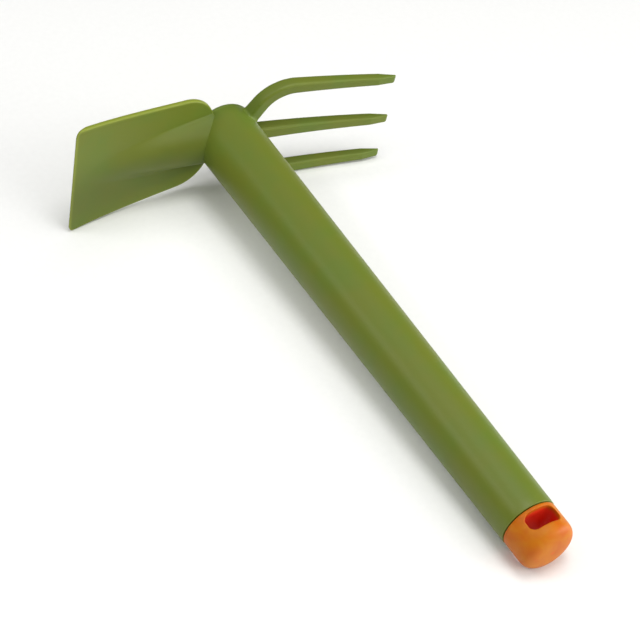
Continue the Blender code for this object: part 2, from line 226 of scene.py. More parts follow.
@dataclass(frozen=True)
class BakedEnamel(Skin):
    """Polyester powder coating, sprayed on the blasted, welded steel and baked: a semi-gloss skin about 0.08 mm
    thick with a slight orange peel, a little thinner and yellower where it pulls back from edges. That edge
    tint is laid lighter than the thin coat alone would be, as a painted highlight on the edges."""

    name: str = "powder_coated_steel"
    # Olive, a leaf green that it drifts to in patches some centimetres long, and the edges' yellow: the thin
    # coat's, made lighter as a painted highlight.
    colours: tuple[str, str, str] = ("667024", "5F7126", "848E30")
    attribute: str = "thin_coat"
    patches: Pattern = Pattern(26.0, 3.0, 0.55)
    patch_range: tuple[float, float] = (0.38, 0.64)
    # Flow during baking leaves bands that are a little flatter than the rest.
    haze: Pattern = Pattern(9.0, 4.0, 0.6)
    roughness: tuple[float, float] = (0.38, 0.46)
    # Orange peel, drawn a little coarser than the real 1 mm so that it shows.
    relief: Pattern = Pattern(1.6, 1.0, 0.4)
    relief_strength: float = 0.5
    relief_depth_mm: float = 0.012
    ior: float = 1.5
    specular: float = 0.26


@dataclass(frozen=True)
class MouldedPolypropylene(Skin):
    """Injection-moulded polypropylene in orange masterbatch: a satin, slightly waxy skin that lets a little
    light in, so that thin lips glow. The walls of the slot are painted a deep red for the shade and the light
    bounced inside it."""

    name: str = "moulded_polypropylene"
    # Orange and amber in faint swirls of flow from the gate at the nose, and a deep red painted on the slot's
    # walls as its shade and bounced light.
    colours: tuple[str, str, str] = ("BA5E0B", "C07211", "E8341C")
    attribute: str = "shut_in"
    patches: Pattern = Pattern(9.0, 2.0, 0.5, 0.6)
    patch_range: tuple[float, float] = (0.35, 0.68)
    haze: Pattern = patches
    roughness: tuple[float, float] = (0.4, 0.5)
    # Spark-eroded mould walls leave a fine grain, drawn at half a millimetre so that it shows.
    relief: Pattern = Pattern(0.5, 1.0, 0.5)
    relief_strength: float = 0.4
    relief_depth_mm: float = 0.006
    ior: float = 1.49
    specular: float = 0.16
    glow: float = 0.25
    glow_reach_mm: float = 2.5


@dataclass(frozen=True)
class PaperFloor:
    """A roll of matt white background paper, with a faint tooth. Seen from below it lets the view through."""

    name: str = "background_paper"
    white: str = "F4F4F2"
    shade: str = "EFEFED"
    tooth: Pattern = Pattern(3.0)

    def build(self) -> Material:
        """Builds the paper.

        Returns:
            The material.
        """
        material, add = empty_material(self.name)
        place = add("ShaderNodeTexCoord").outputs["Object"]
        tooth = add("ShaderNodeTexNoise", self.tooth.settings(), {"Vector": place})
        pulps = {MIX_A: linear(self.white), MIX_B: linear(self.shade)}
        colour = add("ShaderNodeMix", {"data_type": "RGBA", **pulps}, {0: tooth})
        paper = add("ShaderNodeBsdfDiffuse", links={"Color": colour.outputs[MIX_RESULT]})
        clear = add("ShaderNodeBsdfTransparent")
        behind = add("ShaderNodeNewGeometry").outputs["Backfacing"]
        mix = add("ShaderNodeMixShader", links={0: behind, 1: paper, 2: clear})
        add("ShaderNodeOutputMaterial", links={"Surface": mix})
        return material


def linked(name: str, data: ID) -> Object:
    """An object that shows some data, linked to the scene."""
    obj = bpy.data.objects.new(name, data)
    bpy.context.scene.collection.objects.link(obj)
    return obj


def mesh_object(
    name: str, points: Sequence[Vector], faces: Sequence[Sequence[int]], edges: Sequence[tuple[int, int]] = ()
) -> Object:
    """Makes an object in the tool's axes.

    Args:
        name: The object's name.
        points: Its corners.
        faces: The corner numbers of each face.
        edges: The corner numbers of each lone edge.

    Returns:
        The object.
    """
    mesh = bpy.data.meshes.new(name)
    mesh.from_pydata([tuple(point) for point in points], list(edges), [tuple(face) for face in faces])
    return linked(name, mesh)


def lofted(name: str, rings: Sequence[Ring], capped: bool = True) -> Object:
    """Joins rings of points into one closed skin.

    Args:
        name: The object's name.
        rings: Rings with as many points each, or one point where the skin closes.
        capped: Whether flat faces close the ends. Otherwise the last ring joins the first.

    Returns:
        The object.
    """
    starts, points, faces = [], [], []
    for row in rings:
        starts.append(len(points))
        points += row
    for near in range(len(rings) - 1 if capped else len(rings)):
        far = (near + 1) % len(rings)
        count = max(len(rings[near]), len(rings[far]))
        for i in range(count):
            j = (i + 1) % count
            corners = [starts[k] + n % len(rings[k]) for k, n in ((near, i), (near, j), (far, j), (far, i))]
            faces.append(list(dict.fromkeys(corners)))
    if capped:
        for row, start in ((rings[0], starts[0]), (rings[-1], starts[-1])):
            if len(row) > 2:
                faces.append(list(range(start, start + len(row))))
    return mesh_object(name, points, faces)


def ring(x: float, radius: float, sides: int, offset: float = 0.0) -> Ring:
    """Even points round the handle's axis, begun this share of a step late."""
    turns = [2 * pi * (i + offset) / sides for i in range(sides)]
    return [Vector((x, radius * cos(a), radius * sin(a))) for a in turns]


def turned(name: str, profile: Sequence[tuple[float, float]], sides: int) -> Object:
    """Turns an outline of (x, radius) points about the handle's axis. A radius of 0 closes the skin there."""
    return lofted(name, [ring(x, radius, sides if radius else 1) for x, radius in profile])


def applied(obj: Object) -> Object:
    """Turns an object's modifiers into plain mesh.

    Args:
        obj: The object.

    Returns:
        The same object, with no modifiers.
    """
    bpy.context.view_layer.update()
    mesh = bpy.data.meshes.new_from_object(obj.evaluated_get(bpy.context.evaluated_depsgraph_get()))
    obj.modifiers.clear()
    obj.data = mesh
    mesh.name = obj.name
    return obj


def marked(obj: Object, attribute: str, value: Callable[[Vector], float]) -> None:
    """Stores what value gives for each corner's place, while the mesh is still in the tool's axes."""
    numbers = [value(vert.co) for vert in obj.data.vertices]
    obj.data.attributes.new(attribute, "FLOAT", "POINT").data.foreach_set("value", numbers)


def faced_outwards(mesh: Mesh) -> None:
    """Merges a closed mesh's doubled corners and turns its faces outwards."""
    bm = bmesh.new()
    bm.from_mesh(mesh)
    bmesh.ops.remove_doubles(bm, verts=bm.verts, dist=TOUCHING)
    bmesh.ops.recalc_face_normals(bm, faces=bm.faces)
    bm.to_mesh(mesh)
    bm.free()


def finished(
    obj: Object, material: Material, nodes: Sequence[str], crease: float = 40.0
) -> Object:
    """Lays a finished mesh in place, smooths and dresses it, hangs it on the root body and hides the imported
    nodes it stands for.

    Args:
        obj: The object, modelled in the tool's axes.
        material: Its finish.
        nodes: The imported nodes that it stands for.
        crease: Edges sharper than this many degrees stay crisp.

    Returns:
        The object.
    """
    mesh = obj.data
    mesh.transform(PLACE.matrix)
    faced_outwards(mesh)
    mesh.shade_smooth()
    mesh.set_sharp_from_angle(angle=radians(crease))
    mesh.materials.clear()
    mesh.materials.append(material)
    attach(obj, "root")
    if nodes:
        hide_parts(*nodes)
    LOG.info("%s: %d faces, stands for %s", obj.name, len(mesh.polygons), ", ".join(nodes) or "no packed node")
    return obj


def node_group(name: str, sizes: dict[str, float]) -> tuple[NodeTree, Callable[..., Node], NodeOutputs]:
    """Starts a geometry tree with named inputs.

    Args:
        name: The tree's name.
        sizes: Default value by input name. A whole number makes a whole-number input.

    Returns:
        The tree, add_node for it, and its inputs by name.
    """
    tree = bpy.data.node_groups.new(name, "GeometryNodeTree")
    new_socket = tree.interface.new_socket
    for side in ("INPUT", "OUTPUT"):
        new_socket("Geometry", in_out=side, socket_type="NodeSocketGeometry")
    for label, value in sizes.items():
        kind = "NodeSocketInt" if isinstance(value, int) else "NodeSocketFloat"
        new_socket(label, in_out="INPUT", socket_type=kind).default_value = value
    new_socket("Finish", in_out="INPUT", socket_type="NodeSocketMaterial")
    return tree, partial(add_node, tree), tree.nodes.new("NodeGroupInput").outputs


def close_group(tree: NodeTree, finish: NodeSocket, result: Node) -> NodeTree:
    """Ends a tree with Realize Instances and Set Material.

    Args:
        tree: The tree.
        finish: Its input for the material.
        result: The node whose geometry it puts out.

    Returns:
        The tree.
    """
    real = add_node(tree, "GeometryNodeRealizeInstances", links={"Geometry": result})
    dressed = add_node(tree, "GeometryNodeSetMaterial", links={"Geometry": real, "Material": finish})
    add_node(tree, "NodeGroupOutput", links={"Geometry": dressed})
    return tree


def grown(obj: Object, tree: NodeTree, inputs: dict[str, object]) -> Object:
    """Runs a geometry tree on an object and keeps the plain mesh.

    Args:
        obj: The object that carries the guide.
        tree: The tree.
        inputs: Values by input name.

    Returns:
        The same object, holding the result.
    """
    modifier = obj.modifiers.new(tree.name, "NODES")
    modifier.node_group = tree
    for item in tree.interface.items_tree:
        if item.in_out == "INPUT" and item.name in inputs:
            modifier[item.identifier] = inputs[item.name]
    return applied(obj)


def guide(
    name: str, path: Sequence[Vector], looped: bool = False, numbers: dict[str, Sequence[float]] | None = None
) -> Object:
    """A line of edges for a geometry tree to follow.

    Args:
        name: The object's name.
        path: The line's points.
        looped: Whether it closes on itself.
        numbers: Values at the points, by attribute name.

    Returns:
        The object.
    """
    count = len(path)
    edges = [(i, (i + 1) % count) for i in range(count if looped else count - 1)]
    obj = mesh_object(name, path, [], edges)
    for attribute, values in (numbers or {}).items():
        obj.data.attributes.new(attribute, "FLOAT", "POINT").data.foreach_set("value", list(values))
    return obj


def weld_bead_tree() -> NodeTree:
    """A bead that follows a line, scalloped by the ripples of its pool.

    Returns:
        The tree, with the inputs Radius, Ripple Pitch, Ripple Depth, Run Out (how much thinner the two ends
        are, as a share) and Sides.
    """
    sizes = {"Radius": 1.6 * MM, "Ripple Pitch": 1.3 * MM, "Ripple Depth": 0.08, "Run Out": 0.0, "Sides": 24}
    tree, add, size = node_group("weld_bead", sizes)
    line = add("GeometryNodeMeshToCurve", links={"Mesh": size["Geometry"]})
    eighth = add(MATH, {"operation": "DIVIDE", 1: 8.0}, {0: size["Ripple Pitch"]})
    fine = add("GeometryNodeResampleCurve", {"mode": "LENGTH"}, {"Curve": line, "Length": eighth})
    along = add("GeometryNodeSplineParameter").outputs
    # Each ripple is a low arch, and the pool's width wanders a little.
    ripples = add(MATH, {"operation": "DIVIDE"}, {0: along["Length"], 1: size["Ripple Pitch"]})
    wave = add(MATH, {"operation": "FRACT"}, {0: ripples})
    swell = add(MATH, {"operation": "MULTIPLY", 1: pi}, {0: wave})
    arch = add(MATH, {"operation": "SINE"}, {0: swell})
    deep = add(MATH, TIMES, {0: arch, 1: size["Ripple Depth"]})
    unsteady = add("ShaderNodeTexNoise", Pattern(5.0, 1.0).settings())
    wander = add(MATH, {"operation": "MULTIPLY_ADD", 1: 0.16, 2: 0.86}, {0: unsteady})
    share = add(MATH, {"operation": "ADD"}, {0: deep, 1: wander})
    swollen = add(MATH, TIMES, {0: share, 1: size["Radius"]})
    # The two ends run out over about a tenth of the line.
    signed = add(MATH, {"operation": "MULTIPLY_ADD", 1: 2.0, 2: -1.0}, {0: along["Factor"]})
    apart = add(MATH, {"operation": "ABSOLUTE"}, {0: signed})
    close = add(MATH, {"operation": "POWER", 1: 9.0}, {0: apart})
    loss = add(MATH, TIMES, {0: close, 1: size["Run Out"]})
    kept = add(MATH, {"operation": "SUBTRACT", 0: 1.0}, {1: loss})
    radius = add(MATH, TIMES, {0: swollen, 1: kept})
    circle = add("GeometryNodeCurvePrimitiveCircle", {"Radius": 1.0}, {"Resolution": size["Sides"]})
    swept = {"Curve": fine, "Profile Curve": circle, "Scale": radius}
    bead = add("GeometryNodeCurveToMesh", {"Fill Caps": True}, swept)
    return close_group(tree, size["Finish"], bead)


def forged_bar_tree() -> NodeTree:
    """A bar of rounded square section that follows a line, with its girth and flatness read from the line.

    The line is laid with the handle's direction as Z, so that the section's faces stay square to the handle.

    Returns:
        The tree, with the inputs Arris and Arris Steps, for a line that has the attributes "girth" (the side
        in metres) and "flatness" (depth over width).
    """
    tree, add, size = node_group("forged_bar", {"Arris": 0.23, "Arris Steps": 7})
    line = add("GeometryNodeMeshToCurve", links={"Mesh": size["Geometry"]})
    steady = add("GeometryNodeSetCurveNormal", {"mode": "Z_UP"}, {"Curve": line})
    place = add("GeometryNodeInputPosition")
    vector, number = {"data_type": "FLOAT_VECTOR", "Name": "spine"}, {"data_type": "FLOAT"}
    kept = add("GeometryNodeStoreNamedAttribute", vector, {"Geometry": steady, "Value": place})
    girth = add("GeometryNodeInputNamedAttribute", {**number, "Name": "girth"})
    square = add("GeometryNodeCurvePrimitiveQuadrilateral", {"Width": 1.0, "Height": 1.0})
    arris = {"Curve": square, "Radius": size["Arris"], "Count": size["Arris Steps"]}
    rounded = add("GeometryNodeFilletCurve", {"mode": "POLY"}, arris)
    swept = {"Curve": kept, "Profile Curve": rounded, "Scale": girth}
    bar = add("GeometryNodeCurveToMesh", {"Fill Caps": True}, swept)
    # Draw the section down along the handle's direction, about the bar's own middle line.
    spine = add("GeometryNodeInputNamedAttribute", vector)
    flatness = add("GeometryNodeInputNamedAttribute", {**number, "Name": "flatness"})
    apart = add("ShaderNodeVectorMath", {"operation": "SUBTRACT"}, {0: place, 1: spine})
    height = add("ShaderNodeSeparateXYZ", links={0: apart}).outputs["Z"]
    less = add(MATH, {"operation": "SUBTRACT", 1: 1.0}, {0: flatness})
    inward = add(MATH, TIMES, {0: height, 1: less})
    shift = add("ShaderNodeCombineXYZ", links={"Z": inward})
    drawn = add("GeometryNodeSetPosition", links={"Geometry": bar, "Offset": shift})
    return close_group(tree, size["Finish"], drawn)


def crush_rib_tree() -> NodeTree:
    """Half-round ribs set round a spigot, at the points of a ring.

    Returns:
        The tree, with the inputs Rib Radius and Rib Length.
    """
    tree, add, size = node_group("crush_ribs", {"Rib Radius": 0.8 * MM, "Rib Length": 15.4 * MM})
    measures = {"Radius": size["Rib Radius"], "Depth": size["Rib Length"]}
    rib = add("GeometryNodeMeshCylinder", {"Vertices": 20, "Side Segments": 4}, measures)
    lengthwise = {"Rotation": (0.0, pi / 2, 0.0)}
    placed = add("GeometryNodeInstanceOnPoints", lengthwise, {"Points": size["Geometry"], "Instance": rib})
    return close_group(tree, size["Finish"], placed)


def tapered_tube_tree() -> NodeTree:
    """The handle's rule: a round skin along X whose radius runs evenly from the head's to the end's.

    Returns:
        The tree, with the inputs Length, Head Radius, End Radius, Stations and Sides.
    """
    sizes = {"Length": 275 * MM, "Head Radius": 17 * MM, "End Radius": 14 * MM, "Stations": 56, "Sides": 144}
    tree, add, size = node_group("tapered_tube", sizes)
    end = add("ShaderNodeCombineXYZ", links={"X": size["Length"]})
    line = add("GeometryNodeCurvePrimitiveLine", links={"End": end})
    fine = add("GeometryNodeResampleCurve", links={"Curve": line, "Count": size["Stations"]})
    share = add("GeometryNodeSplineParameter")
    taper = {"Value": share, "To Min": size["Head Radius"], "To Max": size["End Radius"]}
    radius = add("ShaderNodeMapRange", links=taper)
    circle = add("GeometryNodeCurvePrimitiveCircle", {"Radius": 1.0}, {"Resolution": size["Sides"]})
    skin = add("GeometryNodeCurveToMesh", links={"Curve": fine, "Profile Curve": circle, "Scale": radius})
    return close_group(tree, size["Finish"], skin)


@dataclass
class Handle:
    """The conical steel tube, with its pressed dome and the weld that joins them."""

    finish: Material
    length: float = 275 * MM
    head_radius: float = 17 * MM
    end_radius: float = 14 * MM
    wall: float = 1.5 * MM
    lip: float = 0.35 * MM
    sides: int = 144
    stations: int = 56
    crisp: float = radians(60)
    dome_height: float = 5.6 * MM
    dome_wall: float = 2.0 * MM
    dome_steps: int = 24
    spigot: float = 6.0 * MM
    spigot_play: float = 0.3 * MM
    seam_radius: float = 1.0 * MM
    seam_proud: float = 0.12 * MM
    seam_ripple: float = 1.5 * MM
    seam_depth: float = 0.03
    seam_steps: int = 180

    def radius(self, x: float) -> float:
        """The tube's outer radius at a distance from the head."""
        return self.head_radius + (self.end_radius - self.head_radius) * x / self.length

    def build_tube(self) -> Object:
        """Makes the tube's skin, its wall and its rounded mouths.

        Returns:
            The tube.
        """
        inputs = {"Length": self.length, "Head Radius": self.head_radius, "End Radius": self.end_radius}
        inputs.update({"Stations": self.stations, "Sides": self.sides, "Finish": self.finish})
        tube = grown(mesh_object("handle_tube_coated", [], []), tapered_tube_tree(), inputs)
        face = tube.data.polygons[0]
        if face.normal.dot(Vector((0, face.center.y, face.center.z))) < 0:
            tube.data.flip_normals()
        wall = tube.modifiers.new("wall", "SOLIDIFY")
        wall.thickness, wall.offset = self.wall, -1
        rounding = tube.modifiers.new("lips", "BEVEL")
        rounding.width, rounding.segments = self.lip, 3
        rounding.limit_method, rounding.angle_limit = "ANGLE", self.crisp
        return applied(tube)

    def build_dome(self) -> Object:
        """Makes the pressed dome with its spigot inside the tube.

        Returns:
            The dome.
        """
        quarter = [pi / 2 * i / self.dome_steps for i in range(self.dome_steps)]
        outer = [(-self.dome_height * sin(a), self.head_radius * cos(a)) for a in quarter]
        bore = self.head_radius - self.wall - self.spigot_play
        hollow = bore - self.dome_wall
        inner_height = self.dome_height - self.dome_wall
        inner = [(-inner_height * sin(a), hollow * cos(a)) for a in quarter]
        profile = [(-self.dome_height, 0.0)] + outer[::-1]
        profile += [(0.0, bore), (self.spigot, bore), (self.spigot, hollow)] + inner + [(-inner_height, 0.0)]
        return turned("head_dome_coated", profile, self.sides)

    def build_seam(self) -> Object:
        """Makes the dressed weld round the dome: low ripples under the coating.

        Returns:
            The weld.
        """
        middle = self.head_radius - self.seam_radius + self.seam_proud
        seam = guide("dome_weld_dressed", ring(0, middle, self.seam_steps), looped=True)
        inputs = {"Radius": self.seam_radius, "Ripple Pitch": self.seam_ripple}
        return grown(seam, weld_bead_tree(), {**inputs, "Ripple Depth": self.seam_depth, "Finish": self.finish})

    def dress(self) -> None:
        """Builds, places and coats the handle's pieces."""
        finished(self.build_tube(), self.finish, ["handle_tube"])
        finished(self.build_dome(), self.finish, ["head_dome"])
        finished(self.build_seam(), self.finish, ["dome_weld"], crease=70)


@dataclass
class Blade:
    """The pressed blade with its swage, and the weld on its hollow side."""

    finish: Material
    handle: Handle
    reach: float = 88 * MM
    edge_width: float = 68.0 * MM
    neck_width: float = 55.6 * MM
    neck: float = 7 * MM
    face_x: float = 1.6 * MM
    lean: float = radians(1.6)
    curl: float = 2.4 * MM
    curl_power: int = 5
    sheet: float = 2.5 * MM
    shoulder: float = 17 * MM
    corner: float = 3.5 * MM
    grind: float = 6 * MM
    ground_edge: float = 0.9 * MM
    edge_round: float = 0.8 * MM
    edge_steps: int = 4
    tip: float = 0.3 * MM
    # How far in and how strongly the edges get the lighter tint: thin coat, and partly a painted highlight.
    thin_coat_and_highlight_reach: float = 1.6 * MM
    thin_coat_and_highlight_share: float = 0.8
    swage_radius: float = 16 * MM
    swage_height: float = 10.0 * MM
    swage_reach: float = 70 * MM
    swage_fillet: float = 2.4 * MM
    bead: float = 1.8 * MM
    bead_ripple: float = 1.4 * MM
    bead_depth: float = 0.07
    bead_run_out: float = 0.75
    bead_steps: int = 60
    stations: int = 110
    across: int = 120

    def half_width(self, along: float) -> float:
        """Half the blade's width at a distance from the neck's line, with its rounded corners."""
        length = self.reach - self.neck
        straight = (self.neck_width + (self.edge_width - self.neck_width) * along / length) / 2
        for radius, distance in ((self.shoulder, along), (self.corner, length - along)):
            if distance < radius:
                straight -= radius - sqrt(radius**2 - (radius - distance) ** 2)
        return straight

    def pressed(self, out: float, z: float, depth: float) -> float:
        """Height of the sheet over the plane of its front face.

        Args:
            out: Distance from the handle's axis.
            z: Place across the blade.
            depth: Depth below the front surface.

        Returns:
            The height along X.
        """
        crest = self.swage_height * (self.swage_reach - out) / (self.swage_reach - self.handle.head_radius)
        radius = self.swage_radius
        swage = crest - radius + sqrt(max((radius - depth) ** 2 - z**2, 0.0))
        fillet = self.swage_fillet
        lift = max(swage + depth, -fillet)
        return swage if lift >= fillet else (lift + fillet) ** 2 / (4 * fillet) - depth

    def plane(self, out: float) -> float:
        """The x of the front face, leant and curled towards the handle."""
        return self.face_x + out * tan(self.lean) + self.curl * (out / self.reach) ** self.curl_power

    def thickness(self, out: float) -> float:
        """The sheet, thinned by grinding its back towards the cutting edge."""
        ground = max(0.0, 1 - (self.reach - out) / self.grind)
        return self.sheet - (self.sheet - self.ground_edge) * ground

    def section(self, out: float, half: float, inset: float) -> Ring:
        """One section across the blade, with the sheet's edges rounded.

        Args:
            out: Distance from the handle's axis.
            half: Half the blade's width there.
            inset: How far it is drawn in from both faces, to round the last edge.

        Returns:
            Its points, along the front and back along the back.
        """
        thick = self.thickness(out)
        rounding = min(self.edge_round, 0.45 * (thick - 2 * inset))
        turns = [pi / 2 * i / self.edge_steps for i in range(self.edge_steps, -1, -1)]
        front = [(rounding * (1 - sin(a)), rounding * (1 - cos(a))) for a in turns]
        left = [(-half + side, inset + depth) for side, depth in front]
        spread = half - rounding
        flat = [(-spread + 2 * spread * j / self.across, inset) for j in range(1, self.across)]
        right = [(-z, depth) for z, depth in left[::-1]]
        outline = left + flat + right
        outline += [(z, thick - depth) for z, depth in outline[::-1]]
        return [Vector((self.plane(out) + self.pressed(out, z, depth), -out, z)) for z, depth in outline]

    def build_blade(self) -> Object:
        """Lofts the sheet from the neck to the cutting edge.

        Returns:
            The blade, with its edges marked for the lighter tint of thin coat and painted highlight.
        """
        length = self.reach - self.neck
        rings = []
        for i in range(self.stations + 1):
            along = length * (1 - cos(pi * i / self.stations)) / 2
            rings.append(self.section(self.neck + along, self.half_width(along), 0.0))
        for turn in (pi / 4, pi / 2):
            out = self.reach + self.tip * sin(turn)
            inset = self.tip * (1 - cos(turn))
            rings.append(self.section(out, self.half_width(length) - inset, inset))
        blade = lofted("pressed_blade", rings)
        # The edges are marked for the lighter tint, which is partly a painted highlight.
        marked(blade, "thin_coat", self.thin_coat)
        return blade

    def thin_coat(self, point: Vector) -> float:
        """How much of the lighter edge tint a corner of the blade gets, for the thin coating and a painted
        highlight: 1 on the sheet's edge, 0 a little way in.
        """
        out, z = -point.y, abs(point.z)
        along = min(max(out - self.neck, 0.0), self.reach - self.neck)
        edge = min(self.reach - out, self.half_width(along) - z)
        return max(0.0, min(1.0, 1 - edge / self.thin_coat_and_highlight_reach)) * self.thin_coat_and_highlight_share

    def build_bead(self) -> Object:
        """Makes the weld where the sheet's hollow side meets the tube.

        Returns:
            The weld.
        """
        reach = self.swage_radius - self.sheet
        path = []
        for i in range(self.bead_steps + 1):
            z = reach * (2 * i / self.bead_steps - 1)
            out = sqrt(self.handle.head_radius**2 - z**2)
            path.append(Vector((self.plane(out) + self.pressed(out, z, self.sheet), -out, z)))
        bead = guide("blade_weld_bead", path)
        inputs = {"Radius": self.bead, "Ripple Pitch": self.bead_ripple, "Ripple Depth": self.bead_depth}
        return grown(bead, weld_bead_tree(), {**inputs, "Run Out": self.bead_run_out, "Finish": self.finish})

    def dress(self) -> None:
        """Builds, places and coats the blade and its weld."""
        finished(self.build_blade(), self.finish, ["hoe_blade"], crease=80)
        finished(self.build_bead(), self.finish, ["blade_weld"], crease=70)


@dataclass
class Tine:
    """One forged tine and the fillet of weld round its root."""

    finish: Material
    handle: Handle
    place: Place
    reach: float = 87.3 * MM
    root_x: float = 6.7 * MM
    tip_x: float = 22.8 * MM
    bow: float = 0.9 * MM
    middle_lean: float = 0.8 * MM
    middle_drift: float = -0.7 * MM
    root_width: float = 7.8 * MM
    root_depth: float = 7.6 * MM
    tip_width: float = 4.7 * MM
    tip_depth: float = 4.4 * MM
    arris: float = 0.23
    chisel: float = 9 * MM
    chisel_edge: float = 1.1 * MM
    spread: float = 28.1 * MM
    tip_spread: float = 25.9 * MM
    splay: float = radians(58)
    bend_radius: float = 20.5 * MM
    bend_end: float = 34 * MM
    root_sink: float = 6 * MM
    fillet: float = 1.7 * MM
    fillet_rise: float = 1.1
    fillet_sink: float = 0.12 * MM
    fillet_steps: int = 10
    fillet_sides: int = 64
    squareness: float = 5.0
    steps: int = 90
    leg_steps: int = 12
    bend_steps: int = 32
    run_steps: int = 40

    @property
    def name(self) -> str:
        """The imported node's name."""
        return f"{self.place.name.lower()}_tine"

    def plan(self) -> list[tuple[float, float]]:
        """The bar's middle line seen along the handle.

        Returns:
            (y, z) points from inside the tube, along leg, bend and run, to the tip.
        """
        inside = self.handle.head_radius - self.root_sink
        if self.place is Place.MIDDLE:
            shares = [i / self.steps for i in range(self.steps + 1)]
            return [(inside + (self.reach - inside) * share, self.middle_drift * share) for share in shares]
        radius, splay = self.bend_radius, self.splay
        bend_y = self.bend_end - radius * sin(splay)
        bend_z = self.spread - radius * (1 - cos(splay))
        leg = hypot(bend_y, bend_z) - inside
        back = leg * np.linspace(1, 0, self.leg_steps, endpoint=False)
        turn = np.linspace(splay, 0, self.bend_steps + 1)
        run = np.linspace(0, 1, self.run_steps + 1)[1:]
        on_bend_y, on_bend_z = self.bend_end - radius * np.sin(turn), self.spread - radius * (1 - np.cos(turn))
        on_run_y = self.bend_end + (self.reach - self.bend_end) * run
        on_run_z = self.spread + (self.tip_spread - self.spread) * run
        y = np.concatenate([bend_y - back * cos(splay), on_bend_y, on_run_y])
        z = np.concatenate([bend_z - back * sin(splay), on_bend_z, on_run_z])
        return list(zip(y, self.place.value * z))

    def spine(self) -> tuple[np.ndarray, np.ndarray]:
        """The bar's middle line, bowed towards the handle.

        Returns:
            Its points, and the distance along it at each.
        """
        y, z = np.array(self.plan()).T
        tip_x = self.tip_x + (self.middle_lean if self.place is Place.MIDDLE else 0.0)
        share = (y - self.handle.head_radius) / (self.reach - self.handle.head_radius)
        bow = self.bow * 4 * share * (1 - share)
        points = np.column_stack([self.root_x + (tip_x - self.root_x) * share - bow, y, z])
        steps = np.linalg.norm(np.diff(points, axis=0), axis=1)
        return points, np.concatenate([[0.0], np.cumsum(steps)])

    def girths(self, lengths: np.ndarray) -> tuple[np.ndarray, np.ndarray]:
        """The bar's width and its depth over its width, along its length.

        Args:
            lengths: Distances along the bar.

        Returns:
            The two rows of numbers.
        """
        total = lengths[-1]
        share = lengths / total
        width = self.root_width + (self.tip_width - self.root_width) * share
        depth = self.root_depth + (self.tip_depth - self.root_depth) * share
        depth -= (self.tip_depth - self.chisel_edge) * np.clip(1 - (total - lengths) / self.chisel, 0, 1)
        return width, depth / width

    def build_bar(self) -> Object:
        """Sweeps the bar along its line and draws its tip down to a chisel.

        Returns:
            The bar.
        """
        points, lengths = self.spine()
        # Stations bunch up where the chisel starts, and two more round the tip's face.
        marks = np.sort(np.concatenate([lengths, lengths[-1] - self.chisel * np.array([1.04, 1.0, 0.96])]))
        spine = np.column_stack([np.interp(marks, lengths, points[:, k]) for k in range(3)])
        width, flatness = self.girths(marks)
        onward = (spine[-1] - spine[-2]) / np.linalg.norm(spine[-1] - spine[-2])
        for step, shrink in ((0.2 * MM, 0.96), (0.32 * MM, 0.86)):
            spine = np.vstack([spine, spine[-1] + onward * step])
            width, flatness = np.append(width, width[-1] * shrink), np.append(flatness, flatness[-1] * shrink)
        path = [Vector((y, z, x)) for x, y, z in spine]
        bar = guide(f"{self.name}_bar", path, numbers={"girth": width, "flatness": flatness})
        grown(bar, forged_bar_tree(), {"Arris": self.arris, "Finish": self.finish})
        bar.data.transform(Matrix(((0, 0, 1), (1, 0, 0), (0, 1, 0))).to_4x4())
        return bar

    def side_points(self) -> list[tuple[float, float, float, float]]:
        """Points round the bar's section, on a superellipse close to its rounded square.

        Returns:
            (across, up, way out across, way out up), as shares of half the side.
        """
        power = self.squareness
        found = []
        for _, c, s in ring(0, 1, self.fillet_sides, 0.5):
            size = (abs(c) ** power + abs(s) ** power) ** (-1 / power)
            across, up = size * c, size * s
            way = Vector([copysign(abs(side) ** (power - 1), side) for side in (across, up)])
            found.append((across, up, *way.normalized()))
        return found

    def build_fillet(self) -> Object:
        """Makes the soft fillet between the bar and the tube.

        Returns:
            The weld, a ring of hollow-faced sections round the bar.
        """
        points, lengths = self.spine()
        width, flatness = self.girths(lengths)

        def at(length: float) -> tuple[Vector, Vector, Vector]:
            """The bar's middle at a length, with its half width and its half depth as vectors."""
            middle, ahead = (
                Vector([np.interp(place, lengths, points[:, k]) for k in range(3)])
                for place in (length, length + 0.5 * MM)
            )
            heading = (ahead - middle).normalized()
            sideways = Vector((1, 0, 0)).cross(heading).normalized()
            side, flat = (float(np.interp(length, lengths, row)) for row in (width / 2, flatness))
            return middle, sideways * side, heading.cross(sideways) * (side * flat)

        def on_bar(length: float, across: float, up: float) -> Vector:
            """A point of the bar's side."""
            middle, half_width, half_depth = at(length)
            return middle + half_width * across + half_depth * up

        def above_tube(point: Vector) -> float:
            """How far a point stands out of the tube's side."""
            return hypot(point.y, point.z) - self.handle.radius(point.x)

        rings = []
        for across, up, way_across, way_up in self.side_points():
            low, high = 0.0, float(lengths[-1]) / 2
            for _ in range(40):
                half = (low + high) / 2
                low, high = (half, high) if above_tube(on_bar(half, across, up)) < 0 else (low, half)
            root = on_bar(low, across, up)
            middle, half_width, half_depth = at(low)
            away = half_width.normalized() * way_across + half_depth.normalized() * way_up
            outward = Vector((0, root.y, root.z)).normalized()
            away = (away - outward * away.dot(outward)).normalized()
            foot = root + away * self.fillet
            shrink = self.handle.radius(foot.x) / hypot(foot.y, foot.z)
            foot.y, foot.z = foot.y * shrink, foot.z * shrink
            rise = low + self.fillet * self.fillet_rise
            top = on_bar(rise, across, up)
            shares = [i / self.fillet_steps for i in range(self.fillet_steps + 1)]
            arc = [foot * (1 - t) ** 2 + root * 2 * t * (1 - t) + top * t**2 for t in shares]
